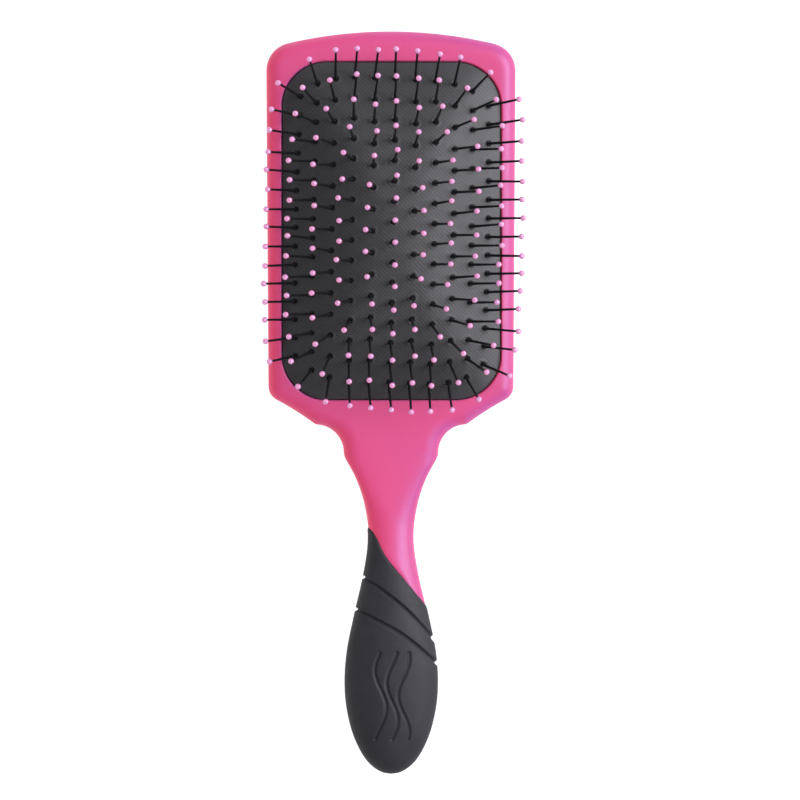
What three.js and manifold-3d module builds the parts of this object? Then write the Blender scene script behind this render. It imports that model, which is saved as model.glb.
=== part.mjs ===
// A paddle hair brush lying on its back with its bristles up. Millimetres, +Z up, +Y towards the head's
// far end, +X across. The origin is the middle of the bounding box, on the surface that the brush lies on.
import * as THREE from 'three';
import { mergeVertices } from 'three/addons/utils/BufferGeometryUtils.js';
import Module from 'manifold-3d';

const wasm = await Module();
wasm.setup();

// ---- driving dimensions -----------------------------------------------------------------------------
const LENGTH = 267;              // whole brush, a 10.5 inch paddle
const HALF_WIDTH = 44.8;         // of the head, at its far end
const SKIRT_HALF_WIDTH = 44.1;   // of the head, near the shoulders
const HEAD_THICKNESS = 11.5;
const EDGE_ROUND = 4.4;          // radius along the head's front and back edges
const FLOOR = 2.4;               // wall under the cushion
const GAP = 0.3;                 // clearance between neighbouring pieces

// All Y values of the outline are counted from the handle's end.
const SHOULDER = { bendX: 34, bendY: 130.8, x: 41, y: 134.5, cornerY: 136.2, topY: 139.5 };
const CROWN_RADIUS = 162;
const CORNER_RADIUS = 10;
const SCALLOP_RADIUS = 10.1;
const SCALLOP = { x: 27.1, y: 115.6 };
const HEAD_START = 114.7;        // where the head begins inside the neck

const PAD = { x: 39.1, y: 60.4, corner: 16, centreY: 195.3 };
const DOME_RISE = 12.6;
const DOME_POWER = { x: 2.05, y: 2.7, blend: 3 };
const MEMBRANE = 1.2;            // thickness of the rubber
const INSIDE_SCALE = 0.965;
const RIM_HEIGHT = 9.8;          // where the dome meets its own skirt
const FLANGE = { thickness: 1.4, drop: 2.8, scale: 1.033 };
const GROOVE_SCALE = 1.043;
const VENT_RADIUS = 1.2;

const COLUMNS = 11;              // lines of bristles, side by side across the head
const COLUMN_PITCH = 7.5;        // along the arc that the columns are spread on
const COLUMN_ARC = 54;
const FIELD = { x: 41, y: 54.4, power: 4.2 };
const FIELD_TURN = -1.2;         // degrees; the field of bristles isn't quite square to the head
const FIELD_BOW = 0.025;         // the share by which the columns draw in at their ends
const FIELD_SAG = 0.6;           // how far the middle of each column is shifted towards the handle
const FIELD_SLANT = 0.026;       // how much the rows slant against the columns
const MOST_IN_COLUMN = 16;       // the columns hold 16 and 15 bristles by turns
const SEGMENTS = ['a', 'b', 'c'];

const SHAFT_RADIUS = 0.48;
const BALL_RADIUS = 1.15;
const BRISTLE_LENGTH = 22.8;     // from the rubber to the top of the ball tip
const BRISTLE_SIDES = 5;
const HOLE_RADIUS = 1.1;
const HOLE_DEPTH = 6;
const HOLE_SIDES = 4;
const FOOT = { width: 1.7, height: 1, beyond: 1.5, depth: 2.5 };

const GRIP_WALL = 1.8;
const GRIP_PROUD = 0.3;          // how far the rubber stands above the moulded handle
const GRIP_AXIS = 8.6;           // height of the handle's centre line in the grip
const AXIS_BENDS = [58, 112];    // where the centre line starts down to the head's mid-height, and meets it
const BAND = { width: 0.9, depth: 0.8 };

const PINK = 0xe2558f;
const CHARCOAL = 0x3c3e42;
const RUBBER = 0x46464a;
const NYLON = 0x18181c;

// Half width, distance from the handle's end and half depth of the handle, from its end to the neck.
const HANDLE_STATIONS = [
  [0.3, 0, 0.3],
  [2.9, 0.45, 1.9],
  [5.5, 1.75, 3.5],
  [8.3, 4.2, 5.0],
  [10.8, 7.7, 6.2],
  [14.0, 14.8, 7.6],
  [16.3, 24.8, 8.4],
  [16.85, 33.8, 8.6],
  [16.1, 44, 8.5],
  [13.4, 57.5, 7.8],
  [10.3, 71, 6.8],
  [8.6, 81.5, 6.1],
  [8.5, 87.5, 5.9],
  [9.3, 94, 5.75],
  [10.9, 100.8, 5.7],
  [13.4, 107.3, 5.7],
  [16.7, 113.4, 5.7],
  [17.25, 114.8, 5.7],
  [17.3, 119, 5.7],
];
const OVAL_UNTIL = 88;           // beyond this the handle's section grows square, to meet the flat head
const SQUARE_FROM = 112;
const SQUARENESS = { oval: 2, square: 5 };

// For each loft along the handle: the shares of the handle's curve that it runs between, its rings and its
// sides. The moulded core and the hollow it fills are almost the same, so that the gap between is even.
const NECK_SPAN = [0.44, 1, 20, 20];
const SKIN_SPAN = [0, 0.77, 20, 20];
const GROOVE_FLOOR_SPAN = [0.2, 0.75, 12, 20];
const CORE_SPAN = [0.18, 0.78, 14, 16];
const HOLLOW_SPAN = [0.17, 0.78, 14, 16];

// Where the rubber ends, and the two grooves in it: slanting curves across the handle as seen from above,
// the same on the front and the back.
const GRIP_EDGE = [[-24, 101], [-7.4, 87.7], [-2.5, 79], [4.7, 70.4], [12.2, 61.7], [24, 48]];
const GROOVES = [
  [[-17, 73.8], [-9.5, 70.4], [-3.6, 66.5], [5.4, 59.3], [14.6, 49.5], [22, 40]],
  [[-19, 61.4], [-12.2, 59], [-3.6, 54.8], [5.4, 49.4], [16.4, 40], [22, 34]],
];
const CURVE_STEPS = 12;
const CUT = { bottom: -5, top: 30, halfWidth: 24, end: 130 };   // a block that clears the whole handle

// How finely the cushion's dome is divided, round it and from its middle to its rim.
const DOME_SEGMENTS = 36;
const DOME_RINGS = [0, 0.35, 0.62, 0.83, 1];

// ---- helpers ----------------------------------------------------------------------------------------
const toSolid = (geometry) => {
  const bare = geometry.clone();
  bare.deleteAttribute('normal');
  bare.deleteAttribute('uv');
  const merged = mergeVertices(bare, 1e-4);
  return new wasm.Manifold(
    new wasm.Mesh({
      numProp: 3,
      vertProperties: new Float32Array(merged.attributes.position.array),
      triVerts: new Uint32Array(merged.index.array),
    }),
  );
};

const toMesh = (name, solid, color, roughness, metalness = 0) => {
  const { vertProperties, triVerts } = solid.getMesh();
  const geometry = new THREE.BufferGeometry();
  geometry.setAttribute('position', new THREE.BufferAttribute(Float32Array.from(vertProperties), 3));
  geometry.setIndex(new THREE.BufferAttribute(Uint32Array.from(triVerts), 1));
  geometry.computeVertexNormals();
  const mesh = new THREE.Mesh(geometry, new THREE.MeshStandardMaterial({ color, roughness, metalness }));
  mesh.name = name;
  return mesh;
};

const union = (solids) => solids.reduce((whole, solid) => whole.add(solid));

// Moves every vertex of a geometry to the place that a function gives for it.
const remap = (geometry, place) => {
  const { position } = geometry.attributes;
  const vertex = new THREE.Vector3();
  for (let i = 0; i < position.count; i += 1) {
    vertex.fromBufferAttribute(position, i);
    position.setXYZ(i, ...place(vertex));
  }
  return geometry;
};

const along = (y) => y - LENGTH / 2;   // from the handle's end to the row's own frame

const prism = (shape, z0, z1, bevel = 0) => {
  const geometry = new THREE.ExtrudeGeometry(shape, {
    depth: z1 - z0 - 2 * bevel,
    bevelEnabled: bevel > 0,
    bevelThickness: bevel,
    bevelSize: bevel,
    bevelOffset: -bevel,
    bevelSegments: 2,
    curveSegments: 4,
  });
  geometry.translate(0, 0, z0 + bevel);
  return toSolid(geometry);
};

// ---- the head's outline, and the opening for the cushion ----------------------------------------------
// The right half, from the neck round to the middle of the crown, then mirrored.
const headOutline = () => {
  const crownCentre = along(LENGTH - CROWN_RADIUS);
  const cornerX = HALF_WIDTH - CORNER_RADIUS;
  const cornerY = crownCentre + Math.sqrt((CROWN_RADIUS - CORNER_RADIUS) ** 2 - cornerX ** 2);
  const meet = Math.atan2(cornerY - crownCentre, cornerX);
  const half = new THREE.Path();
  half.moveTo(0, along(HEAD_START));
  half.absarc(SCALLOP.x, along(SCALLOP.y), SCALLOP_RADIUS, Math.PI, Math.PI / 2, true);
  half.quadraticCurveTo(SHOULDER.bendX, along(SHOULDER.bendY), SHOULDER.x, along(SHOULDER.y));
  half.quadraticCurveTo(SKIRT_HALF_WIDTH, along(SHOULDER.cornerY), SKIRT_HALF_WIDTH, along(SHOULDER.topY));
  half.lineTo(HALF_WIDTH, cornerY);
  half.absarc(cornerX, cornerY, CORNER_RADIUS, 0, meet);
  half.absarc(0, crownCentre, CROWN_RADIUS, meet, Math.PI / 2);
  const right = half.getPoints(5).slice(1);
  const left = right.slice(0, -1).reverse().map((p) => new THREE.Vector2(-p.x, p.y));
  return new THREE.Shape([...right, ...left]);
};

const padOutline = (scale, grow = 0) => {
  const x = PAD.x * scale + grow;
  const y = PAD.y * scale + grow;
  const r = PAD.corner * scale + grow;
  const cy = along(PAD.centreY);
  const quarter = Math.PI / 2;
  const shape = new THREE.Shape();
  shape.moveTo(x, cy - y + r);
  shape.lineTo(x, cy + y - r);
  shape.absarc(x - r, cy + y - r, r, 0, quarter);
  shape.lineTo(-x + r, cy + y);
  shape.absarc(-x + r, cy + y - r, r, quarter, 2 * quarter);
  shape.lineTo(-x, cy - y + r);
  shape.absarc(-x + r, cy - y + r, r, 2 * quarter, 3 * quarter);
  shape.lineTo(x - r, cy - y);
  shape.absarc(x - r, cy - y + r, r, 3 * quarter, 4 * quarter);
  return shape;
};

// ---- the cushion's dome -------------------------------------------------------------------------------
// How far the dome stands above its rim. The curve across is rounder than the one along the head.
const domeHeight = (x, y) => {
  const across = (Math.abs(x) / PAD.x) ** (DOME_POWER.x * DOME_POWER.blend);
  const lengthways = (Math.abs(y - along(PAD.centreY)) / PAD.y) ** (DOME_POWER.y * DOME_POWER.blend);
  const level = (across + lengthways) ** (1 / DOME_POWER.blend);
  return DOME_RISE * Math.max(0, 1 - level);
};

const domeNormal = (x, y) => {
  const step = 0.01;
  const slopeX = (domeHeight(x + step, y) - domeHeight(x - step, y)) / (2 * step);
  const slopeY = (domeHeight(x, y + step) - domeHeight(x, y - step)) / (2 * step);
  return new THREE.Vector3(-slopeX, -slopeY, 1).normalize();
};

// A solid under the dome, down to a flat base: a unit lathe whose rings take the cushion's outline.
const domeSolid = (scale, drop, base) => {
  const profile = DOME_RINGS.map((r) => new THREE.Vector2(r, 1));
  profile.push(new THREE.Vector2(1, 0), new THREE.Vector2(0, 0));
  profile.reverse();
  const rim = padOutline(scale).getSpacedPoints(DOME_SEGMENTS);
  const cy = along(PAD.centreY);
  const geometry = remap(new THREE.LatheGeometry(profile, DOME_SEGMENTS), (v) => {
    const turn = Math.atan2(v.x, v.z) / (2 * Math.PI);
    const point = rim[Math.round((turn + 1) * DOME_SEGMENTS) % DOME_SEGMENTS];
    const r = Math.hypot(v.x, v.z);
    const x = point.x * r;
    const y = cy + (point.y - cy) * r;
    return [x, y, base + v.y * (RIM_HEIGHT + domeHeight(x, y) - drop - base)];
  });
  return toSolid(geometry);
};

// ---- bristles -----------------------------------------------------------------------------------------
const columnX = (column) => COLUMN_ARC * Math.sin((column * COLUMN_PITCH) / COLUMN_ARC);

const columnReach = (column) =>
  FIELD.y * (1 - (Math.abs(columnX(column)) / FIELD.x) ** FIELD.power) ** (1 / FIELD.power);

// A place along a column, from -1 at its first bristle to 1 at its last.
const columnPoint = (column, share) => {
  const x = columnX(column) * (1 - FIELD_BOW * share ** 2);
  const y = columnReach(column) * share - FIELD_SAG * (1 - share ** 2) - FIELD_SLANT * x;
  const point = new THREE.Vector2(x, y);
  point.rotateAround(new THREE.Vector2(), THREE.MathUtils.degToRad(FIELD_TURN));
  return { x: point.x, y: point.y + along(PAD.centreY) };
};

const columnCount = (column) => MOST_IN_COLUMN - (Math.abs(column) % 2);

const bristleShare = (column, number) => (2 * number) / (columnCount(column) - 1) - 1;

const surfacePoint = ({ x, y }) => new THREE.Vector3(x, y, RIM_HEIGHT + domeHeight(x, y));

// Stands a geometry made along +Z on the dome at a root, square to the rubber.
const stand = (geometry, root) => {
  const up = new THREE.Vector3(0, 0, 1);
  const turn = new THREE.Quaternion().setFromUnitVectors(up, domeNormal(root.x, root.y));
  return toSolid(geometry.applyQuaternion(turn).translate(...surfacePoint(root).toArray()));
};

const bristle = (root) => {
  const ballCentre = BRISTLE_LENGTH - BALL_RADIUS;
  const profile = [
    [0, -FOOT.depth],
    [SHAFT_RADIUS, -FOOT.depth],
    [SHAFT_RADIUS, ballCentre - BALL_RADIUS],
    [BALL_RADIUS, ballCentre],
    [0, BRISTLE_LENGTH],
  ].map(([r, z]) => new THREE.Vector2(r, z));
  return stand(new THREE.LatheGeometry(profile, BRISTLE_SIDES).rotateX(Math.PI / 2), root);
};

const bristleHole = (root) => {
  const geometry = new THREE.CylinderGeometry(HOLE_RADIUS, HOLE_RADIUS, HOLE_DEPTH, HOLE_SIDES);
  return stand(geometry.rotateX(Math.PI / 2), root);
};

// The heads of one segment's bristles, under the rubber, as one thin bar that follows the dome.
const footBar = (column, shares) => {
  const beyond = FOOT.beyond / columnReach(column);
  const start = shares[0] - beyond;
  const span = shares[shares.length - 1] + beyond - start;
  const geometry = new THREE.BoxGeometry(FOOT.width, 1, FOOT.height, 1, shares.length - 1, 1);
  return toSolid(
    remap(geometry, (v) => {
      const under = columnPoint(column, start + span * (v.y + 0.5));
      const centre = surfacePoint(under).addScaledVector(domeNormal(under.x, under.y), v.z - FOOT.depth);
      return [centre.x + v.x, centre.y, centre.z];
    }),
  );
};

// A column is split into segments of five or six bristles.
const bristleSegment = (column, part) => {
  const firstOf = (segment) => Math.floor((columnCount(column) * segment) / SEGMENTS.length);
  const shares = [];
  for (let i = firstOf(part); i < firstOf(part + 1); i += 1) {
    shares.push(bristleShare(column, i));
  }
  const number = String(column + (COLUMNS + 1) / 2).padStart(2, '0');
  const bristles = shares.map((share) => bristle(columnPoint(column, share)));
  const solid = union([footBar(column, shares), ...bristles]);
  return toMesh(`bristles_${number}${SEGMENTS[part]}`, solid, NYLON, 0.45);
};

const columnNumbers = Array.from({ length: COLUMNS }, (_, i) => i - (COLUMNS - 1) / 2);

// ---- handle -------------------------------------------------------------------------------------------
const handlePoints = HANDLE_STATIONS.map((station) => new THREE.Vector3(...station));
const handleCurve = new THREE.CatmullRomCurve3(handlePoints, false, 'centripetal');

const axisHeight = (y) =>
  THREE.MathUtils.lerp(GRIP_AXIS, HEAD_THICKNESS / 2, THREE.MathUtils.smoothstep(y, ...AXIS_BENDS));

// A loft along the handle, its surface moved in by inset, between two shares of the handle's curve. Its
// section is a superellipse: an oval in the grip and almost a rectangle where it meets the head.
const handleLoft = (inset, [from, to, rings, sides]) => {
  const geometry = remap(new THREE.CylinderGeometry(1, 1, 1, sides, rings), (v) => {
    const point = handleCurve.getPoint(from + (to - from) * (v.y + 0.5));
    const square = THREE.MathUtils.smoothstep(point.y, OVAL_UNTIL, SQUARE_FROM);
    const power = 2 / THREE.MathUtils.lerp(SQUARENESS.oval, SQUARENESS.square, square);
    const halfWidth = Math.max(point.x - inset, 0.1);
    const halfDepth = Math.max(point.z - inset * (1 - square), 0.1);
    const x = Math.sign(v.x) * Math.abs(v.x) ** power * halfWidth;
    const z = Math.sign(v.z) * Math.abs(v.z) ** power * halfDepth;
    return [x, along(point.y), axisHeight(point.y) + z];
  });
  return toSolid(geometry);
};

const acrossHandle = (stations, shift = 0) =>
  new THREE.SplineCurve(stations.map(([x, y]) => new THREE.Vector2(x, along(y + shift))));

const beyondGripEdge = (shift) => {
  const shape = new THREE.Shape(acrossHandle(GRIP_EDGE, shift).getPoints(CURVE_STEPS));
  shape.lineTo(CUT.halfWidth, along(CUT.end));
  shape.lineTo(-CUT.halfWidth, along(CUT.end));
  return prism(shape, CUT.bottom, CUT.top);
};

// A curved upright slab, for a groove that wraps the grip.
const grooveSlab = (stations) => {
  const curve = acrossHandle(stations);
  const side = (offset) =>
    Array.from({ length: CURVE_STEPS + 1 }, (_, i) => {
      const point = curve.getPoint(i / CURVE_STEPS);
      const tangent = curve.getTangent(i / CURVE_STEPS);
      return new THREE.Vector2(point.x - offset * tangent.y, point.y + offset * tangent.x);
    });
  const outline = [...side(-BAND.width / 2), ...side(BAND.width / 2).reverse()];
  return prism(new THREE.Shape(outline), CUT.bottom, CUT.top);
};

// ---- pieces -------------------------------------------------------------------------------------------
const paddleBody = () => {
  const neck = handleLoft(GRIP_PROUD, NECK_SPAN).intersect(beyondGripEdge(GAP));
  const core = handleLoft(GRIP_WALL + GAP, CORE_SPAN);
  const head = prism(headOutline(), 0, HEAD_THICKNESS, EDGE_ROUND);
  const opening = prism(padOutline(1, GAP), FLOOR, HEAD_THICKNESS + 1);
  const flangeTop = RIM_HEIGHT - FLANGE.drop + FLANGE.thickness;
  const groove = prism(padOutline(GROOVE_SCALE), flangeTop - FLANGE.thickness - GAP, flangeTop + GAP);
  const vent = toSolid(new THREE.CylinderGeometry(VENT_RADIUS, VENT_RADIUS, 10, 12).rotateX(Math.PI / 2));
  const solid = union([head, neck, core])
    .subtract(opening)
    .subtract(groove)
    .subtract(vent.translate([0, along(PAD.centreY - 0.8 * PAD.y), 0]));
  return toMesh('paddle_body', solid, PINK, 0.42);
};

const gripSleeve = () => {
  const skin = handleLoft(0, SKIN_SPAN);
  const hollow = handleLoft(GRIP_WALL, HOLLOW_SPAN);
  const floor = handleLoft(BAND.depth, GROOVE_FLOOR_SPAN);
  const grooves = union(GROOVES.map(grooveSlab)).subtract(floor);
  const solid = skin.subtract(hollow).subtract(grooves).subtract(beyondGripEdge(0));
  return toMesh('grip_sleeve', solid, CHARCOAL, 0.6);
};

const cushionPad = () => {
  const base = RIM_HEIGHT - FLANGE.drop;
  const flange = prism(padOutline(FLANGE.scale), base, base + FLANGE.thickness);
  const inside = domeSolid(INSIDE_SCALE, MEMBRANE, base - 1);
  const roots = columnNumbers.flatMap((column) =>
    Array.from({ length: columnCount(column) }, (_, i) => columnPoint(column, bristleShare(column, i))),
  );
  const holes = union(roots.map(bristleHole));
  const solid = domeSolid(1, 0, base).add(flange).subtract(inside).subtract(holes);
  return toMesh('cushion_pad', solid, RUBBER, 0.7);
};

const brush = new THREE.Group();
brush.add(paddleBody(), gripSleeve(), cushionPad());
for (const column of columnNumbers) {
  SEGMENTS.forEach((_, part) => brush.add(bristleSegment(column, part)));
}

export default brush;
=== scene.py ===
"""Looks of the paddle brush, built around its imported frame. Metres, +Z up, +Y towards the head's far end."""

import math

import bmesh
import bpy
import numpy as np
from mathutils import Matrix, Vector


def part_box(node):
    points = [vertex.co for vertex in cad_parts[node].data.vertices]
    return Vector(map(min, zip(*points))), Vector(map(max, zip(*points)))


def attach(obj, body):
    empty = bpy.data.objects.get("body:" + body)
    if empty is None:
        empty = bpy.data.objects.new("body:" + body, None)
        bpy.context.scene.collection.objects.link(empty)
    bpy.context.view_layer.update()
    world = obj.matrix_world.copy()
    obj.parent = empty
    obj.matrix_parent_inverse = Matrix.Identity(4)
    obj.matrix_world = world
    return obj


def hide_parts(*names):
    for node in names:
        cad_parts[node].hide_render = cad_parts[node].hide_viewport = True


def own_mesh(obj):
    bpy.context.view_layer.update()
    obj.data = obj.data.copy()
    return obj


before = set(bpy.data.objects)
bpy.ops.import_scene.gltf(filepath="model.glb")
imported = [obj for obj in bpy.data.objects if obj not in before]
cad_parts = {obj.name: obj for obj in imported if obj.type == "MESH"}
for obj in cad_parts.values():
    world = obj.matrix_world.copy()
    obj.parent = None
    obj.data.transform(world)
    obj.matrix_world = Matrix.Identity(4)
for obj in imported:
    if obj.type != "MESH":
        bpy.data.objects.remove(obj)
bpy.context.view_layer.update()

# ---- sizes, in metres ----------------------------------------------------------------------------------
# Those that the CAD part has too are the same there, but for details that the looks need finer: the head's
# edge, the gap round the rubber, the grip's wall and grooves, and the bristles' shafts, feet and balls.
MM = 0.001
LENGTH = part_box("paddle_body")[1].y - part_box("grip_sleeve")[0].y
HALF_LENGTH = LENGTH / 2
HEAD_THICKNESS = 11.5 * MM
HALF_WIDTH = 44.8 * MM
SKIRT_HALF_WIDTH = 44.1 * MM            # of the head near its shoulders
# Places on the head's outline: across, and from the handle's end.
SHOULDER_BEND = (34 * MM, 130.8 * MM)
SHOULDER = (41 * MM, 134.5 * MM)
SCALLOP = (27.1 * MM, 115.6 * MM)       # the centre of its arc
SCALLOP_BLEND = (0.6 * MM, 0.4 * MM)    # steps from the scallop's top to where the shoulder starts
SCALLOP_RADIUS = 10.1 * MM
SHOULDER_CORNER_Y, SHOULDER_TOP_Y = 136.2 * MM, 139.5 * MM
CROWN_RADIUS = 162 * MM
CORNER_RADIUS = 10 * MM
HEAD_START = 114.7 * MM                 # where the head begins inside the neck
EDGE_RADIUS = 3.6 * MM
THINNING = 0.24                         # share by which the head thins towards its outline
THINNING_WIDTH = 6 * MM
LIP_RADIUS = 0.7 * MM                   # of the head's edge round the cushion
LIP_STEPS = 8
CUTTER_PROUD = 3 * MM                   # how far the opening's cutter stands out of the head
BACK_WALL = 2.4 * MM                    # wall under the cushion
SKIN_VOXEL = 0.55 * MM
BLEND_REACH = (2 * MM, 12 * MM)         # down the neck from the shoulders: smoothing starts, and is full

PAD_X, PAD_Y = 39.1 * MM, 60.4 * MM     # half the cushion's width and half its length
PAD_CORNER = 16 * MM
PAD_CENTRE = 195.3 * MM - HALF_LENGTH
PAD_GAP = 0.35 * MM
PAD_GRID = 0.36 * MM                    # between neighbouring points of its mesh
DOME_RISE = 12.6 * MM
DOME_POWER_X, DOME_POWER_Y, DOME_BLEND = 2.05, 2.7, 3
RIM_HEIGHT = 9.8 * MM
RIM_LIFT = 0.8 * MM                     # the rubber's edge swells a little where it meets the head
RIM_LIFT_POWER = 6
# How far out from the edge and up from it the hidden skirt's rings lie, in millimetres.
SKIRT_STEPS = ((0.12, -0.12), (0.2, -0.4), (0.22, -0.9), (0.22, -5.6))
# Pressing in is full as far as the floor and ends at the edge, which are distances from the middle.
DIMPLE_DEPTH, DIMPLE_FLOOR, DIMPLE_EDGE = 0.7 * MM, 0.7 * MM, 1.05 * MM
DIMPLE_LIP_HEIGHT, DIMPLE_LIP_RADIUS, DIMPLE_LIP_WIDTH = 0.16 * MM, 1.4 * MM, 0.35 * MM
DIMPLE_REACH = 2.5 * MM
VENT_RADIUS = 1.2 * MM
VENT_Y = PAD_CENTRE - 0.8 * PAD_Y
VENT_SPAN = (-5 * MM, 9 * MM)           # from below the head's back to inside the hollow
VENT_SIDES = 32

COLUMNS = 11
COLUMN_NUMBERS = range(-(COLUMNS // 2), COLUMNS // 2 + 1)
COLUMN_PITCH = 7.5 * MM
COLUMN_ARC = 54 * MM
FIELD_X, FIELD_Y, FIELD_POWER = 41 * MM, 54.4 * MM, 4.2
FIELD_TURN = math.radians(-1.2)
FIELD_BOW = 0.025                       # the share by which the columns draw in at their ends
FIELD_SAG = 0.6 * MM                    # how far each column's middle is shifted towards the handle
FIELD_SLANT = 0.026                     # how much the rows slant against the columns
MOST_IN_COLUMN = 16                     # the columns hold 16 and 15 bristles by turns
SHAFT_ROOT_RADIUS = 0.52 * MM
SHAFT_TIP_RADIUS = 0.42 * MM
# Radius and height over the root, in millimetres, of the thick foot: its wide base lies hidden inside the
# rubber, and its upper part, wider than the shaft, stands in the dimple as a black collar that is painted
# shade at the bristle's root.
FOOT_AND_SHADE_COLLAR = ((0.3, -2.4), (0.8, -2.2), (0.72, -0.5), (0.66, -0.25))
SHAFT_SIDES, TIP_SIDES = 10, 16
# The neck of the droplet at the shaft's end: its radius in shaft radii, and how many ball radii it lies under
# the ball's centre. The ball's lowest ring has a radius in shaft radii too.
TIP_NECK_RADIUS, TIP_NECK_DROP, BALL_START_RADIUS = 1.02, 1.22, 1.25
BALL_RINGS = 9
BALL_RADIUS = 1.06 * MM                 # round, with about the volume of the CAD part's faceted ball
BALL_END = math.pi - 0.12               # angle of the ball's highest ring, from its bottom
BALL_POLE = 0.02 * MM                   # how far the ball's top stands above that ring
BRISTLE_LENGTH = 22.8 * MM
LEAN = math.radians(1.1)                # how far a bristle usually leans from its true direction
MOST_LEAN = 1.4 * LEAN

GRIP_PROUD = 0.3 * MM                   # how far the rubber stands above the moulded handle
GRIP_WALL = 2.1 * MM
GRIP_AXIS = 8.6 * MM                    # height of the handle's centre line in the grip
AXIS_BENDS = (58 * MM, 112 * MM)        # where the centre line leaves that height, and meets the head's
NECK_REACH = (48 * MM, 118.8 * MM)
GRIP_REACH = (0, 96 * MM)
RING_CROWDING = 1.3                     # above 1, rings lie closer together at the handle's end
LEAST_RADIUS = 0.05 * MM
CORE_STEP = (-1.6 * MM, -0.4 * MM)      # from the rubber's edge, where the core swells to the neck's size
ROUND_OVER = 0.9 * MM                   # of the rubber's upper edge
GRIP_TUCK = 2.2 * MM                    # how far the rubber dives under the shell beyond its edge
GROOVE_DEPTH, GROOVE_FLOOR, GROOVE_EDGE = 0.95 * MM, 0.22 * MM, 0.75 * MM
STRAND_DEPTH, STRAND_FLOOR, STRAND_EDGE = 0.6 * MM, 0.3 * MM, 0.75 * MM
UPPER_SIDE = 0.1                        # share of the section's height above which the strands are pressed in
# Half width, distance from the handle's end and half depth of the handle, in millimetres.
HANDLE_STATIONS = (
    (0.3, 0, 0.3),
    (2.9, 0.45, 1.9),
    (5.5, 1.75, 3.5),
    (8.3, 4.2, 5.0),
    (10.8, 7.7, 6.2),
    (14.0, 14.8, 7.6),
    (16.3, 24.8, 8.4),
    (16.85, 33.8, 8.6),
    (16.1, 44, 8.5),
    (13.4, 57.5, 7.8),
    (10.3, 71, 6.8),
    (8.6, 81.5, 6.1),
    (8.5, 87.5, 5.9),
    (9.3, 94, 5.75),
    (10.9, 100.8, 5.7),
    (13.4, 107.3, 5.7),
    (16.7, 113.4, 5.7),
    (17.25, 114.8, 5.7),
    (17.3, 119, 5.7),
)
OVAL_UNTIL, SQUARE_FROM = 88 * MM, 112 * MM     # the section grows square, to meet the flat head
OVAL, SQUARE = 2, 5                             # powers of its superellipse
# Lines across the handle: points across it and from its end, in millimetres.
GRIP_EDGE = ((-24, 101), (-7.4, 87.7), (-2.5, 79), (4.7, 70.4), (12.2, 61.7), (24, 48))
GROOVES = (
    ((-17, 73.8), (-9.5, 70.4), (-3.6, 66.5), (5.4, 59.3), (14.6, 49.5), (22, 40)),
    ((-19, 61.4), (-12.2, 59), (-3.6, 54.8), (5.4, 49.4), (16.4, 40), (22, 34)),
)
# Three plain wavy lines, like strands of hair: their places across the grip, the distances from the handle's
# end that they run between, and how far they swing to each side, in millimetres.
STRAND_PLACES = (-4.2, 0, 4.2)
STRAND_SPAN = (13, 44)
STRAND_SWING = 2.1
STRAND_WAVES = 1.15
STRAND_SHIFT = 0.25                     # how much a wave is ahead for each millimetre across, in radians

ARC_STEPS = 24
LINE_STEPS = 40
CURVE_STEPS = 1500
FAR = 1.0                               # farther than any point of the brush is from any line on it

rng = np.random.default_rng(11)


def smoothstep(value, low, high):
    t = np.clip((value - low) / (high - low), 0, 1)
    return t * t * (3 - 2 * t)


def along(y):
    """From a distance to the handle's end to the row frame."""
    return y - HALF_LENGTH


# ---- meshes --------------------------------------------------------------------------------------------
def add_object(name, data):
    obj = bpy.data.objects.new(name, data)
    bpy.context.scene.collection.objects.link(obj)
    return obj


def make_object(name, points, faces):
    mesh = bpy.data.meshes.new(name)
    mesh.from_pydata([tuple(p) for p in points], [], [tuple(f) for f in faces])
    mesh.validate()
    obj = add_object(name, mesh)
    outwards(obj)
    return obj


def outwards(obj):
    """Turns every face outwards."""
    bm = bmesh.new()
    bm.from_mesh(obj.data)
    bmesh.ops.recalc_face_normals(bm, faces=bm.faces)
    bm.to_mesh(obj.data)
    bm.free()


def shade(obj, sharp_angle=math.radians(38)):
    """Smooth shading, with an edge left sharp where its faces meet at more than an angle."""
    bm = bmesh.new()
    bm.from_mesh(obj.data)
    for face in bm.faces:
        face.smooth = True
    for edge in bm.edges:
        edge.smooth = len(edge.link_faces) == 2 and edge.calc_face_angle(0) < sharp_angle
    bm.to_mesh(obj.data)
    bm.free()


def with_middles(rings):
    """The points of some rings in one array, with the middles of the first and the last ring at its end."""
    return np.vstack([*rings, rings[0].mean(0)[None], rings[-1].mean(0)[None]])


def ring_faces(rings, sides):
    """Quads between successive closed rings of points, and a fan round each of the two middles."""
    faces = []
    for r in range(rings - 1):
        for s in range(sides):
            a, b = r * sides + s, r * sides + (s + 1) % sides
            faces.append((a, b, b + sides, a + sides))
    first, last = rings * sides, rings * sides + 1
    for s in range(sides):
        faces.append((first, (s + 1) % sides, s))
        faces.append((last, (rings - 1) * sides + s, (rings - 1) * sides + (s + 1) % sides))
    return faces


def stacked(name, rings):
    """A closed solid through a list of rings, each an array of points."""
    return make_object(name, with_middles(rings), ring_faces(len(rings), len(rings[0])))


def apply_modifiers(obj):
    graph = bpy.context.evaluated_depsgraph_get()
    mesh = bpy.data.meshes.new_from_object(obj.evaluated_get(graph))
    obj.modifiers.clear()
    obj.data = mesh


def cut_away(obj, cutter):
    modifier = obj.modifiers.new("cut", "BOOLEAN")
    modifier.object = cutter
    modifier.operation = "DIFFERENCE"
    modifier.solver = "EXACT"
    apply_modifiers(obj)
    bpy.data.objects.remove(cutter)


def join(objects, name):
    """One object from several, as one mesh."""
    bm = bmesh.new()
    for obj in objects:
        bm.from_mesh(obj.data)
    mesh = bpy.data.meshes.new(name)
    bm.to_mesh(mesh)
    bm.free()
    for obj in objects:
        bpy.data.objects.remove(obj)
    return add_object(name, mesh)


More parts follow.
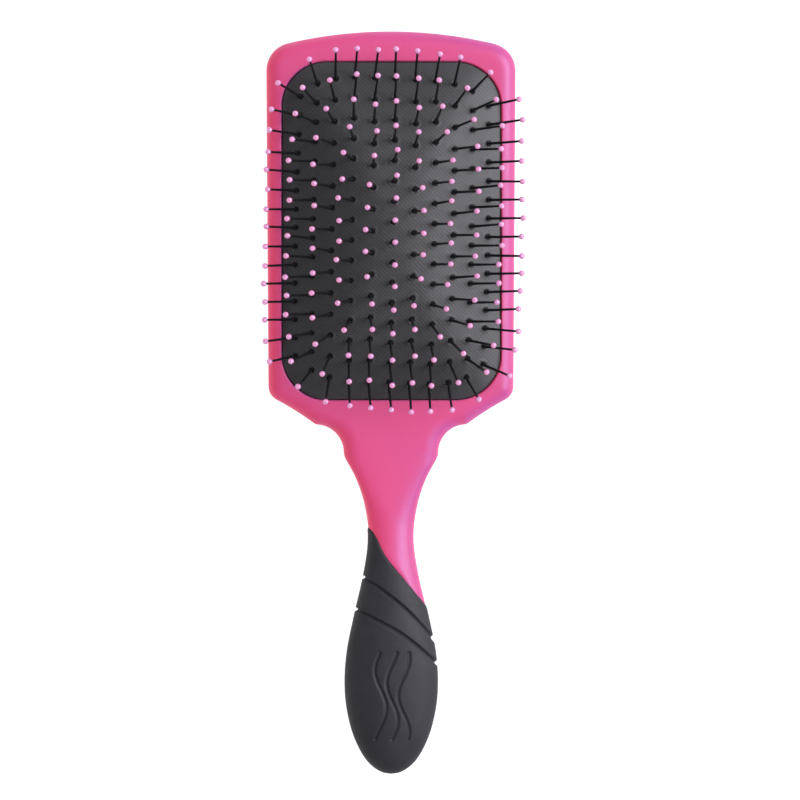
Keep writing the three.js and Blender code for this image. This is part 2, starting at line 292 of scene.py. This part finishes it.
# ---- outlines ------------------------------------------------------------------------------------------
def arc(cx, cy, radius, start, end, steps=ARC_STEPS):
    angles = np.linspace(start, end, steps)
    return np.column_stack([cx + radius * np.cos(angles), cy + radius * np.sin(angles)])


def quadratic(start, control, end, steps):
    t = np.linspace(0, 1, steps)[:, None]
    start, control, end = (np.array(p, float) for p in (start, control, end))
    return (1 - t) ** 2 * start + 2 * t * (1 - t) * control + t**2 * end


def head_outline():
    """The head seen from above, from the neck's right side round the crown to its left side."""
    crown = along(LENGTH - CROWN_RADIUS)
    corner_x = HALF_WIDTH - CORNER_RADIUS
    corner_y = crown + math.sqrt((CROWN_RADIUS - CORNER_RADIUS) ** 2 - corner_x**2)
    meet = math.atan2(corner_y - crown, corner_x)
    scallop_y = along(SCALLOP[1])
    scallop_top = (SCALLOP[0] + SCALLOP_BLEND[0], scallop_y + SCALLOP_RADIUS + SCALLOP_BLEND[1])
    bend = (SHOULDER_BEND[0], along(SHOULDER_BEND[1]))
    shoulder = (SHOULDER[0], along(SHOULDER[1]))
    side_corner = (SKIRT_HALF_WIDTH, along(SHOULDER_CORNER_Y))
    side_foot = (SKIRT_HALF_WIDTH, along(SHOULDER_TOP_Y))
    right = np.vstack([
        [(SCALLOP[0] - SCALLOP_RADIUS, along(HEAD_START))],
        arc(SCALLOP[0], scallop_y, SCALLOP_RADIUS, math.pi, math.pi / 2),
        quadratic(scallop_top, bend, shoulder, 20),
        quadratic(shoulder, side_corner, side_foot, 16)[1:],
        [(HALF_WIDTH, corner_y)],
        arc(corner_x, corner_y, CORNER_RADIUS, 0, meet)[1:],
        arc(0, crown, CROWN_RADIUS, meet, math.pi / 2)[1:],
    ])
    left = right[-2::-1] * (-1, 1)
    return np.vstack([right, left])


def pad_outline(grow):
    """The cushion's rounded rectangle, grown by a distance all round."""
    x, y, r = PAD_X + grow, PAD_Y + grow, PAD_CORNER + grow
    quarter = math.pi / 2
    corners = ((x - r, y - r, 0), (r - x, y - r, 1), (r - x, r - y, 2), (x - r, r - y, 3))
    arcs = [arc(cx, PAD_CENTRE + cy, r, n * quarter, (n + 1) * quarter) for cx, cy, n in corners]
    return np.vstack(arcs)


# ---- the dome ------------------------------------------------------------------------------------------
def dome_height(x, y):
    across = (np.abs(x) / PAD_X) ** (DOME_POWER_X * DOME_BLEND)
    lengthways = (np.abs(y - PAD_CENTRE) / PAD_Y) ** (DOME_POWER_Y * DOME_BLEND)
    return DOME_RISE * np.maximum(0, 1 - (across + lengthways) ** (1 / DOME_BLEND))


def dome_normal(x, y):
    step = 0.01 * MM
    slope_x = (dome_height(x + step, y) - dome_height(x - step, y)) / (2 * step)
    slope_y = (dome_height(x, y + step) - dome_height(x, y - step)) / (2 * step)
    return Vector((-slope_x, -slope_y, 1)).normalized()


def column_roots(column):
    """The roots of one column, in a field that is slightly turned and whose columns bow outwards."""
    x = COLUMN_ARC * math.sin(column * COLUMN_PITCH / COLUMN_ARC)
    reach = FIELD_Y * (1 - (abs(x) / FIELD_X) ** FIELD_POWER) ** (1 / FIELD_POWER)
    count = MOST_IN_COLUMN - abs(column) % 2
    turn = Matrix.Rotation(FIELD_TURN, 2)
    roots = []
    for share in np.linspace(-1, 1, count):
        root_x = x * (1 - FIELD_BOW * share**2)
        root_y = reach * share - FIELD_SAG * (1 - share**2) - FIELD_SLANT * root_x
        root = turn @ Vector((root_x, root_y))
        roots.append((root.x, root.y + PAD_CENTRE))
    return roots


# ---- the handle's surface ------------------------------------------------------------------------------
def spline(stations, steps):
    """Points along a centripetal Catmull-Rom curve through some stations."""
    p = np.array(stations, float)
    p = np.vstack([2 * p[0] - p[1], p, 2 * p[-1] - p[-2]])
    spans = len(stations) - 1
    out = []
    for u in np.linspace(0, spans, steps):
        i = min(int(u), spans - 1)
        a, b, c, d = p[i : i + 4]
        t0 = 0.0
        t1 = t0 + np.linalg.norm(b - a) ** 0.5
        t2 = t1 + np.linalg.norm(c - b) ** 0.5
        t3 = t2 + np.linalg.norm(d - c) ** 0.5
        t = t1 + (u - i) * (t2 - t1)
        ab = (t1 - t) / (t1 - t0) * a + (t - t0) / (t1 - t0) * b
        bc = (t2 - t) / (t2 - t1) * b + (t - t1) / (t2 - t1) * c
        cd = (t3 - t) / (t3 - t2) * c + (t - t2) / (t3 - t2) * d
        abc = (t2 - t) / (t2 - t0) * ab + (t - t0) / (t2 - t0) * bc
        bcd = (t3 - t) / (t3 - t1) * bc + (t - t1) / (t3 - t1) * cd
        out.append((t2 - t) / (t2 - t1) * abc + (t - t1) / (t2 - t1) * bcd)
    return np.array(out)


HANDLE_CURVE = spline(HANDLE_STATIONS, CURVE_STEPS) * MM


def handle_rings(y_values, sides, inset):
    """Rings across the handle: ovals that grow square towards the head.

    Each point is moved in by inset(x, y, up), where up is its height as a share of the section's.
    """
    angles = np.linspace(0, 2 * math.pi, sides, endpoint=False)
    y = np.asarray(y_values)[:, None]
    half_width = np.interp(y, HANDLE_CURVE[:, 1], HANDLE_CURVE[:, 0])
    half_depth = np.interp(y, HANDLE_CURVE[:, 1], HANDLE_CURVE[:, 2])
    level = GRIP_AXIS + (HEAD_THICKNESS / 2 - GRIP_AXIS) * smoothstep(y, *AXIS_BENDS)
    square = smoothstep(y, OVAL_UNTIL, SQUARE_FROM)
    power = 2 / (OVAL + (SQUARE - OVAL) * square)
    across = np.sign(np.cos(angles)) * np.abs(np.cos(angles)) ** power
    up = np.sign(np.sin(angles)) * np.abs(np.sin(angles)) ** power
    places = along(y) + np.zeros(sides)
    moved = inset(half_width * across, places, up)
    x = np.maximum(half_width - moved, LEAST_RADIUS) * across
    z = level + np.maximum(half_depth - moved * (1 - square), LEAST_RADIUS) * up
    return np.stack([x, places, z], axis=2)


def distance_and_side(x, y, line):
    """Distance from many points to a polyline, and 1 or -1 for points to the left or the right of it."""
    best = np.full(x.shape, FAR)
    sign = np.ones(x.shape)
    for (ax, ay), (bx, by) in zip(line[:-1], line[1:]):
        dx, dy = bx - ax, by - ay
        t = np.clip(((x - ax) * dx + (y - ay) * dy) / (dx * dx + dy * dy), 0, 1)
        away = np.hypot(x - ax - t * dx, y - ay - t * dy)
        side = np.sign(dx * (y - ay) - dy * (x - ax))
        sign = np.where(away < best, side, sign)
        best = np.minimum(best, away)
    return best, sign


def distance_beyond(x, y, line):
    """How far points lie from a line across the handle; positive beyond it, towards the head."""
    best, sign = distance_and_side(x, y, line)
    return best * sign


def pressed_in(x, y, line, depth, floor, edge):
    """How far the rubber is pressed in near a line."""
    away, _ = distance_and_side(x, y, line)
    return depth * (1 - smoothstep(away, floor, edge))


def handle_line(stations):
    """A smooth line across the handle, as seen from above."""
    line = spline([(x, y, 0) for x, y in stations], LINE_STEPS)[:, :2] * MM
    return np.column_stack([line[:, 0], along(line[:, 1])])


# ---- pieces --------------------------------------------------------------------------------------------
def handle_part(name, low, high, inset, rings, sides):
    """A closed solid along the handle, with its rings closest together at the handle's end."""
    spread = low + (high - low) * np.linspace(0, 1, rings) ** RING_CROWDING
    return stacked(name, list(handle_rings(spread, sides, inset)))


def head_slab():
    """The head's plate, from its outline, with rounded edges."""
    curve = bpy.data.curves.new("head_slab", "CURVE")
    curve.dimensions = "2D"
    curve.fill_mode = "BOTH"
    curve.bevel_depth = EDGE_RADIUS
    curve.bevel_resolution = 6
    curve.offset = -EDGE_RADIUS
    curve.extrude = HEAD_THICKNESS / 2 - EDGE_RADIUS
    outline = head_outline()
    line = curve.splines.new("POLY")
    line.points.add(len(outline) - 1)
    for point, (x, y) in zip(line.points, outline):
        point.co = (x, y, 0, 1)
    line.use_cyclic_u = True
    holder = add_object("head_slab", curve)
    graph = bpy.context.evaluated_depsgraph_get()
    mesh = bpy.data.meshes.new_from_object(holder.evaluated_get(graph))
    mesh.transform(Matrix.Translation((0, 0, HEAD_THICKNESS / 2)))
    bpy.data.objects.remove(holder)
    bm = bmesh.new()
    bm.from_mesh(mesh)
    bmesh.ops.remove_doubles(bm, verts=bm.verts, dist=0.001 * MM)
    bmesh.ops.recalc_face_normals(bm, faces=bm.faces)
    bm.to_mesh(mesh)
    bm.free()
    return add_object("head_slab", mesh)


def ring_at(outline, z):
    return np.column_stack([outline, np.full(len(outline), z)])


def head_opening():
    """The cutter for the cushion's opening: straight walls, and a lip that rolls outwards at the top."""
    lip_foot = HEAD_THICKNESS - LIP_RADIUS
    rings = [ring_at(pad_outline(PAD_GAP), BACK_WALL), ring_at(pad_outline(PAD_GAP), lip_foot)]
    for angle in np.linspace(0.12, 1, LIP_STEPS) * math.pi / 2:
        grow = LIP_RADIUS * (1 - math.cos(angle))
        rings.append(ring_at(pad_outline(PAD_GAP + grow), lip_foot + LIP_RADIUS * math.sin(angle)))
    rings.append(ring_at(pad_outline(PAD_GAP + LIP_RADIUS), HEAD_THICKNESS + CUTTER_PROUD))
    return stacked("opening", rings)


def vent_hole():
    """The cutter for the hole through the head's back that lets air out from under the cushion."""
    outline = arc(0, VENT_Y, VENT_RADIUS, 0, 2 * math.pi, VENT_SIDES + 1)[:-1]
    return stacked("vent", [ring_at(outline, z) for z in VENT_SPAN])


def thin_border(obj):
    """Thins the head towards its outline, so that the border round the cushion slopes gently outwards."""
    points = np.empty(len(obj.data.vertices) * 3)
    obj.data.vertices.foreach_get("co", points)
    points = points.reshape(-1, 3)
    away, _ = distance_and_side(points[:, 0], points[:, 1], head_outline())
    level = HEAD_THICKNESS / 2
    thin = 1 - THINNING * (1 - np.clip(away / THINNING_WIDTH, 0, 1)) ** 2
    points[:, 2] = level + (points[:, 2] - level) * thin
    obj.data.vertices.foreach_set("co", points.ravel())


def fuse(shell):
    """Makes one skin of the head and the neck, and melts the step where they meet."""
    remesh = shell.modifiers.new("skin", "REMESH")
    remesh.mode = "VOXEL"
    remesh.voxel_size = SKIN_VOXEL
    apply_modifiers(shell)
    near_neck = shell.vertex_groups.new(name="near_neck")
    neck_top = along(SHOULDER[1])
    for vertex in shell.data.vertices:
        share = float(smoothstep(neck_top - vertex.co.y, *BLEND_REACH))
        near_neck.add([vertex.index], share, "REPLACE")
    even = shell.modifiers.new("even", "SMOOTH")
    even.factor = 0.5
    even.iterations = 8
    blend = shell.modifiers.new("blend", "SMOOTH")
    blend.factor = 0.5
    blend.iterations = 30
    blend.use_x = False
    blend.use_y = False
    blend.vertex_group = "near_neck"
    apply_modifiers(shell)
    shell.vertex_groups.clear()


def build_shell():
    """The pink head, neck and handle core: one smooth moulding, with the opening and the vent cut in it."""
    slab = head_slab()
    edge = handle_line(GRIP_EDGE)

    def inset(x, y, up):
        beyond = distance_beyond(x, y, edge)
        return GRIP_WALL + (GRIP_PROUD - GRIP_WALL) * smoothstep(beyond, *CORE_STEP)

    neck = handle_part("neck", *NECK_REACH, inset, rings=160, sides=128)
    shell = join([slab, neck], "shell")
    fuse(shell)
    thin_border(shell)
    cut_away(shell, head_opening())
    cut_away(shell, vent_hole())
    outwards(shell)
    shade(shell)
    return shell


def strand(place):
    """One of the plain wavy lines on the grip, at a place across it in millimetres."""
    low, high = STRAND_SPAN
    t = np.linspace(0, 1, LINE_STEPS)
    x = place + STRAND_SWING * np.sin(2 * math.pi * t * STRAND_WAVES + STRAND_SHIFT * place)
    return np.column_stack([x * MM, along((low + (high - low) * t) * MM)])


def build_grip():
    """The rubber grip: two slanting grooves, a rounded upper edge and three wavy strand lines pressed in."""
    edge = handle_line(GRIP_EDGE)
    grooves = [handle_line(stations) for stations in GROOVES]
    strands = [strand(place) for place in STRAND_PLACES]

    def inset(x, y, up):
        beyond = distance_beyond(x, y, edge)
        into = np.clip((beyond + ROUND_OVER) / ROUND_OVER, 0, 1)
        moved = ROUND_OVER * (1 - np.sqrt(1 - into**2))
        moved = np.where(beyond > 0, GRIP_TUCK, moved)
        for line in grooves:
            moved = moved + pressed_in(x, y, line, GROOVE_DEPTH, GROOVE_FLOOR, GROOVE_EDGE)
        for line in strands:
            pressed = pressed_in(x, y, line, STRAND_DEPTH, STRAND_FLOOR, STRAND_EDGE)
            moved = moved + np.where(up > UPPER_SIDE, pressed, 0)
        return moved

    grip = handle_part("grip", *GRIP_REACH, inset, rings=400, sides=300)
    shade(grip, math.radians(60))
    return grip


def cushion_grid():
    """A grid of points that fills the cushion's outline, as rounded rectangles one inside another."""
    nx, ny = int(2 * PAD_X / PAD_GRID) | 1, int(2 * PAD_Y / PAD_GRID) | 1    # odd, to have a middle one
    u, v = np.meshgrid(np.linspace(-1, 1, nx), np.linspace(-1, 1, ny))
    ring = np.maximum(np.maximum(np.abs(u), np.abs(v)), 1e-9)
    half_x, half_y, corner = PAD_X * ring, PAD_Y * ring, PAD_CORNER * ring
    x, y = np.abs(PAD_X * u), np.abs(PAD_Y * v)
    dx, dy = np.maximum(x - half_x + corner, 0), np.maximum(y - half_y + corner, 0)
    in_corner = (dx > 0) & (dy > 0)
    pull = np.maximum(dx, dy) / np.maximum(np.hypot(dx, dy), 1e-12)
    x = np.where(in_corner, half_x - corner + dx * pull, x) * np.sign(u)
    y = np.where(in_corner, half_y - corner + dy * pull, y) * np.sign(v)
    return x, y + PAD_CENTRE


def cushion_height(x, y):
    """The rubber's upper side: the dome, a swelling along its edge, and a lipped dimple at each bristle."""
    dome = dome_height(x, y)
    z = RIM_HEIGHT + dome + RIM_LIFT * (1 - dome / DOME_RISE) ** RIM_LIFT_POWER
    for column in COLUMN_NUMBERS:
        for root_x, root_y in column_roots(column):
            near = (np.abs(x - root_x) < DIMPLE_REACH) & (np.abs(y - root_y) < DIMPLE_REACH)
            away = np.hypot(x[near] - root_x, y[near] - root_y)
            dip = DIMPLE_DEPTH * (1 - smoothstep(away, DIMPLE_FLOOR, DIMPLE_EDGE))
            lip = DIMPLE_LIP_HEIGHT * np.exp(-(((away - DIMPLE_LIP_RADIUS) / DIMPLE_LIP_WIDTH) ** 2))
            z[near] += lip - dip
    return z


def outward(edge):
    """Level directions out from the cushion's edge, one for each of its points."""
    out = (edge[:, :2] - (0, PAD_CENTRE)) / (PAD_X, PAD_Y)
    return out / np.linalg.norm(out, axis=1)[:, None]


def build_cushion():
    """The domed rubber, with an edge that rolls down into a hidden skirt, closed by a flat underside."""
    x, y = cushion_grid()
    points = [np.column_stack([x.ravel(), y.ravel(), cushion_height(x, y).ravel()])]
    index = np.arange(x.size).reshape(x.shape)
    quads = np.stack([index[:-1, :-1], index[:-1, 1:], index[1:, 1:], index[1:, :-1]], axis=-1)
    faces = [tuple(quad) for quad in quads.reshape(-1, 4)]
    previous = np.concatenate([index[0, :], index[1:, -1], index[-1, -2::-1], index[-2:0:-1, 0]])
    edge = points[0][previous]
    sides = len(edge)
    count = x.size
    for out, up in SKIRT_STEPS:
        points.append(ring_at(edge[:, :2] + outward(edge) * out * MM, RIM_HEIGHT + RIM_LIFT + up * MM))
        current = np.arange(count, count + sides)
        for i in range(sides):
            j = (i + 1) % sides
            faces.append((previous[i], current[i], current[j], previous[j]))
        previous = current
        count += sides
    points.append([[0, PAD_CENTRE, points[-1][0, 2]]])
    for i in range(sides):
        faces.append((previous[i], count, previous[(i + 1) % sides]))
    cushion = make_object("cushion", np.vstack(points), faces)
    shade(cushion, math.radians(70))
    return cushion


def lathe_points(profile, sides):
    angles = np.linspace(0, 2 * math.pi, sides, endpoint=False)
    return [np.column_stack([r * np.cos(angles), r * np.sin(angles), np.full(sides, z)]) for r, z in profile]


def shaft_profile():
    """Radii and heights up a shaft that thins over its first three quarters and ends inside the ball."""
    ball_foot = BRISTLE_LENGTH - 1.7 * BALL_RADIUS
    return (
        # The foot: a hidden base, then a black collar in the dimple that is painted shade at the root.
        *[(radius * MM, height * MM) for radius, height in FOOT_AND_SHADE_COLLAR],
        (SHAFT_ROOT_RADIUS, 0.25 * MM),
        (SHAFT_TIP_RADIUS, 0.75 * ball_foot),
        (SHAFT_TIP_RADIUS, ball_foot + 0.4 * MM),
    )


def tip_profile():
    """Radii and heights up a droplet: a ball whose lower side runs in to the shaft."""
    centre = BRISTLE_LENGTH - BALL_RADIUS
    neck = (SHAFT_TIP_RADIUS * TIP_NECK_RADIUS, centre - TIP_NECK_DROP * BALL_RADIUS)
    start = math.asin(SHAFT_TIP_RADIUS * BALL_START_RADIUS / BALL_RADIUS)
    angles = np.linspace(start, BALL_END, BALL_RINGS)
    ball = [(BALL_RADIUS * math.sin(angle), centre - BALL_RADIUS * math.cos(angle)) for angle in angles]
    return [neck, *ball]


def placed(points, x, y, tilt):
    """Stands points made along +Z on the dome at a root, square to it but for a slight tilt."""
    root = Vector((x, y, RIM_HEIGHT + float(dome_height(x, y))))
    turn = Vector((0, 0, 1)).rotation_difference(dome_normal(x, y)).to_matrix()
    lean = Matrix.Rotation(tilt[0], 3, "X") @ Matrix.Rotation(tilt[1], 3, "Y")
    matrix = np.array(turn @ lean)
    return points @ matrix.T + np.array(root)


def build_column(column):
    """The shafts and the ball tips of one column, as two objects."""
    number = f"{column + COLUMNS // 2 + 1:02d}"
    tilts = np.clip(rng.normal(0, LEAN, (MOST_IN_COLUMN, 2)), -MOST_LEAN, MOST_LEAN)
    shaft = ("shafts", shaft_profile(), SHAFT_SIDES, 0)
    tip = ("tips", tip_profile(), TIP_SIDES, BALL_POLE)
    made = []
    for kind, profile, sides, pole in (shaft, tip):
        one = with_middles(lathe_points(profile, sides))
        one[-1, 2] += pole
        one_faces = ring_faces(len(profile), sides)
        points, faces = [], []
        for (x, y), tilt in zip(column_roots(column), tilts):
            start = len(points) * len(one)
            points.append(placed(one, x, y, tilt))
            faces += [tuple(start + i for i in face) for face in one_faces]
        obj = make_object(f"{kind}_{number}", np.vstack(points), faces)
        shade(obj, math.radians(50))
        made.append(obj)
    return number, made


# ---- materials -----------------------------------------------------------------------------------------
class Nodes:
    """A short way to write a material's node tree."""

    def __init__(self, name):
        self.material = bpy.data.materials.new(name)
        self.material.use_nodes = True
        self.tree = self.material.node_tree
        self.shader = self.tree.nodes["Principled BSDF"]
        self.place = self.tree.nodes.new("ShaderNodeTexCoord").outputs["Object"]

    def link(self, source, socket):
        self.tree.links.new(source, socket)

    def set(self, **values):
        for name, value in values.items():
            self.shader.inputs[name.replace("_", " ")].default_value = value

    def facing(self):
        """The direction that the surface faces, on the object's own axes."""
        node = self.tree.nodes.new("ShaderNodeSeparateXYZ")
        self.link(self.tree.nodes["Texture Coordinate"].outputs["Normal"], node.inputs["Vector"])
        return node.outputs

    def noise(self, scale, detail=2):
        node = self.tree.nodes.new("ShaderNodeTexNoise")
        node.inputs["Scale"].default_value = scale
        node.inputs["Detail"].default_value = detail
        self.link(self.place, node.inputs["Vector"])
        return node.outputs["Fac"]

    def ramp(self, source, low, high, start=0.3, end=0.7):
        """Goes from low to high as the source goes from start to end, between which noise mostly lies."""
        node = self.tree.nodes.new("ShaderNodeMapRange")
        node.inputs["From Min"].default_value = start
        node.inputs["From Max"].default_value = end
        node.inputs["To Min"].default_value = low
        node.inputs["To Max"].default_value = high
        self.link(source, node.inputs["Value"])
        return node.outputs["Result"]

    def mix(self, factor, first, second):
        node = self.tree.nodes.new("ShaderNodeMix")
        node.data_type = "RGBA"
        self.link(factor, node.inputs["Factor"])
        for socket, value in ((node.inputs["A"], first), (node.inputs["B"], second)):
            if isinstance(value, tuple):
                socket.default_value = (*value, 1)
            else:
                self.link(value, socket)
        return node.outputs["Result"]

    def math(self, operation, first, second):
        node = self.tree.nodes.new("ShaderNodeMath")
        node.operation = operation
        for socket, value in zip(node.inputs, (first, second)):
            if isinstance(value, (int, float)):
                socket.default_value = value
            else:
                self.link(value, socket)
        return node.outputs[0]

    def bump(self, height, strength, distance):
        node = self.tree.nodes.new("ShaderNodeBump")
        node.inputs["Strength"].default_value = strength
        node.inputs["Distance"].default_value = distance
        self.link(height, node.inputs["Height"])
        self.link(node.outputs["Normal"], self.shader.inputs["Normal"])


# Painted side light, chosen by the way a face turns: warm painted shade for faces to the left, a painted lilac
# sheen and deeper painted shade for faces to the right. PINK is the plain colour of faces turned straight up.
PAINTED_WARM_SHADE_PINK = (0.82, 0.058, 0.155)
PINK = (0.80, 0.088, 0.275)
PAINTED_LILAC_SHEEN = (0.64, 0.090, 0.35)
PAINTED_EDGE_SHADE_PINK = (0.66, 0.082, 0.28)


def pink_painted_side_light():
    """Satin pink, with painted light by facing: warm painted shade on faces to the left, then pink, a painted
    lilac sheen and deeper painted shade on the right.
    """
    m = Nodes("pink_painted_side_light")
    facing = m.facing()
    cloud = m.ramp(m.noise(35), -0.03, 0.03)
    slope = m.math("ADD", facing["X"], m.math("MULTIPLY", facing["Y"], 0.15))
    painted_side_light = m.math("ADD", m.ramp(slope, 0, 1, -0.8, 0.8), cloud)
    # The base colour follows which way each face turns: painted light and shade over the plain pink.
    side_light_colours = m.tree.nodes.new("ShaderNodeValToRGB")
    side_light_colours.color_ramp.elements[0].color = (*PAINTED_WARM_SHADE_PINK, 1)
    side_light_colours.color_ramp.elements[1].color = (*PAINTED_EDGE_SHADE_PINK, 1)
    for place, colour in ((0.5, PINK), (0.70, PAINTED_LILAC_SHEEN)):
        side_light_colours.color_ramp.elements.new(place).color = (*colour, 1)
    m.link(painted_side_light, side_light_colours.inputs["Fac"])
    m.link(side_light_colours.outputs["Color"], m.shader.inputs["Base Color"])
    m.link(m.ramp(m.noise(900, 3), 0.4, 0.5), m.shader.inputs["Roughness"])
    m.set(Sheen_Weight=0.12, Sheen_Roughness=0.4, Specular_IOR_Level=0.35)
    m.shader.inputs["Sheen Tint"].default_value = (0.8, 0.65, 1, 1)
    m.bump(m.noise(5200), 0.12, 0.05 * MM)
    return m.material


def grip_rubber():
    m = Nodes("grip_rubber")
    cloud = m.ramp(m.noise(120, 3), 0, 1)
    m.link(m.mix(cloud, (0.023, 0.023, 0.028), (0.030, 0.030, 0.036)), m.shader.inputs["Base Color"])
    m.link(m.ramp(m.noise(1500, 3), 0.56, 0.7), m.shader.inputs["Roughness"])
    m.set(Specular_IOR_Level=0.3)
    m.bump(m.noise(3800, 3), 0.25, 0.07 * MM)
    return m.material


WEAVE_TURN = math.radians(45)
RIDGE_PITCH = 1.1 * MM
DASH_PITCH = 0.95 * MM                  # along a ridge


def cushion_rubber():
    """Dark rubber with a fine diagonal weave pressed into it: ridges that are broken into dashes."""
    m = Nodes("cushion_rubber")
    turn = m.tree.nodes.new("ShaderNodeMapping")
    turn.inputs["Rotation"].default_value = (0, 0, WEAVE_TURN)
    m.link(m.place, turn.inputs["Vector"])
    ridges = []
    for direction, pitch in (("Y", RIDGE_PITCH), ("X", DASH_PITCH)):
        wave = m.tree.nodes.new("ShaderNodeTexWave")
        wave.bands_direction = direction
        wave.inputs["Scale"].default_value = 2 * math.pi / 20 / pitch    # at 1, waves are 2 pi / 20 long
        wave.inputs["Distortion"].default_value = 0
        m.link(turn.outputs["Vector"], wave.inputs["Vector"])
        ridges.append(wave.outputs["Fac"])
    weave = m.math("MULTIPLY", ridges[0], m.ramp(ridges[1], 0.5, 1, 0, 1))
    grain = m.ramp(m.noise(2200), -0.3, 0.3)
    shown = m.math("ADD", weave, grain)
    m.link(m.mix(shown, (0.011, 0.011, 0.014), (0.023, 0.023, 0.028)), m.shader.inputs["Base Color"])
    m.link(m.ramp(weave, 0.64, 0.60, 0, 1), m.shader.inputs["Roughness"])
    m.set(Specular_IOR_Level=0.8)
    m.bump(shown, 0.19, 0.16 * MM)
    return m.material


def black_nylon():
    m = Nodes("black_nylon")
    m.link(m.mix(m.noise(700), (0.007, 0.007, 0.009), (0.014, 0.014, 0.017)), m.shader.inputs["Base Color"])
    m.link(m.ramp(m.noise(2500), 0.3, 0.42), m.shader.inputs["Roughness"])
    m.set(Specular_IOR_Level=0.25)
    m.bump(m.noise(6000), 0.1, 0.03 * MM)
    return m.material


def tip_pink_rim_shade():
    """Glossy lilac pink, with painted shade that makes the sides of each ball deeper than its top."""
    m = Nodes("tip_pink_rim_shade")
    # Painted shade: the balls' sides turn a deep pink as they face away from straight up.
    side = m.ramp(m.facing()["Z"], 1, 0, 0, 0.75)
    tone = m.mix(m.noise(260), (0.88, 0.36, 0.66), (0.93, 0.43, 0.76))
    m.link(m.mix(side, tone, (0.42, 0.05, 0.24)), m.shader.inputs["Base Color"])
    m.link(m.ramp(m.noise(1800), 0.16, 0.26), m.shader.inputs["Roughness"])
    m.set(Subsurface_Weight=0.2, Subsurface_Scale=0.6 * MM, Coat_Weight=0.4, Coat_Roughness=0.2)
    m.bump(m.noise(2600), 0.06, 0.04 * MM)
    return m.material


def white_floor():
    m = Nodes("white_floor")
    m.link(m.mix(m.noise(4), (0.40, 0.40, 0.40), (0.42, 0.42, 0.42)), m.shader.inputs["Base Color"])
    m.set(Roughness=0.9, Emission_Strength=0.9)
    m.shader.inputs["Emission Color"].default_value = (1, 1, 1, 1)
    return m.material


# ---- the set: floor, lights and camera -----------------------------------------------------------------
IMAGE_SPAN = 288 * MM                   # how much of the brush's plane the square picture covers
CAMERA_DISTANCE = 1.9
CAMERA_SWING = math.radians(-2.4)
CAMERA_NOD = math.radians(-1)
AIM = (3.25 * MM, 1 * MM, 6 * MM)
SENSOR = 36                             # millimetres across
FLOOR_REACH = 18                        # from the middle to each side
FLOOR_DROP = 0.2 * MM


def area_light(name, place, size, power, colour, diffuse=True, glossy=True):
    """A round light that points at the origin."""
    light = bpy.data.lights.new(name, "AREA")
    light.shape = "DISK"
    light.size = size
    light.energy = power
    light.color = colour
    obj = add_object(name, light)
    obj.location = place
    obj.rotation_euler = (-Vector(place)).to_track_quat("-Z", "Y").to_euler()
    obj.visible_diffuse = diffuse
    obj.visible_glossy = glossy


def build_floor():
    bm = bmesh.new()
    bmesh.ops.create_grid(bm, x_segments=2, y_segments=2, size=FLOOR_REACH)
    mesh = bpy.data.meshes.new("floor")
    bm.to_mesh(mesh)
    bm.free()
    floor = add_object("floor", mesh)
    floor.location.z = -FLOOR_DROP
    floor.data.materials.append(white_floor())


def build_lights():
    """Two lights from the right, one for highlights only, two fills without highlights, and a white world."""
    area_light("key", (1.05, 0.3, 0.95), size=1.1, power=16.2, colour=(0.96, 0.96, 1))
    area_light("softbox", (0.95, 0.35, 1), size=1.1, power=20, colour=(0.97, 0.95, 1), diffuse=False)
    area_light("right_fill", (1.2, 0.15, 0.4), size=0.7, power=2.6, colour=(0.62, 0.70, 1), glossy=False)
    area_light("left_fill", (-1, -0.1, 0.9), size=0.9, power=5.6, colour=(1, 0.95, 0.95), glossy=False)
    world = bpy.data.worlds.new("studio")
    world.use_nodes = True
    world.node_tree.nodes["Background"].inputs["Color"].default_value = (1, 1, 1, 1)
    world.node_tree.nodes["Background"].inputs["Strength"].default_value = 0.35
    bpy.context.scene.world = world


def build_camera():
    camera = bpy.data.cameras.new("camera")
    camera.sensor_width = SENSOR
    camera.lens = SENSOR * CAMERA_DISTANCE / IMAGE_SPAN
    camera.clip_end = 20
    eye = add_object("camera", camera)
    eye.rotation_euler = (CAMERA_NOD, CAMERA_SWING, 0)
    away = eye.rotation_euler.to_matrix() @ Vector((0, 0, CAMERA_DISTANCE))
    eye.location = Vector(AIM) + away
    bpy.context.scene.camera = eye
    bpy.context.scene.view_settings.view_transform = "Standard"


# ---- assembly ------------------------------------------------------------------------------------------
def finish_piece(obj, body, material, slot, *nodes):
    obj.data.materials.clear()
    obj.data.materials.append(material)
    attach(obj, body)
    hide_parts(*nodes)


build_floor()
build_lights()
build_camera()
finish_piece(build_shell(), "handle", pink_painted_side_light(), "pink_shell", "paddle_body")
finish_piece(build_grip(), "handle", grip_rubber(), "grip_rubber", "grip_sleeve")

pad = build_cushion()
finish_piece(pad, "handle", cushion_rubber(), "cushion_rubber", "cushion_pad")
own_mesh(pad)

nylon, tip_paint = black_nylon(), tip_pink_rim_shade()
for column in COLUMN_NUMBERS:
    number, (shafts, tips) = build_column(column)
    nodes = [f"bristles_{number}{part}" for part in "abc"]
    finish_piece(shafts, f"bristle_column_{number}", nylon, "pin_nylon", *nodes)
    finish_piece(tips, f"bristle_column_{number}", tip_paint, "pin_tip", *nodes)

bpy.context.view_layer.update()
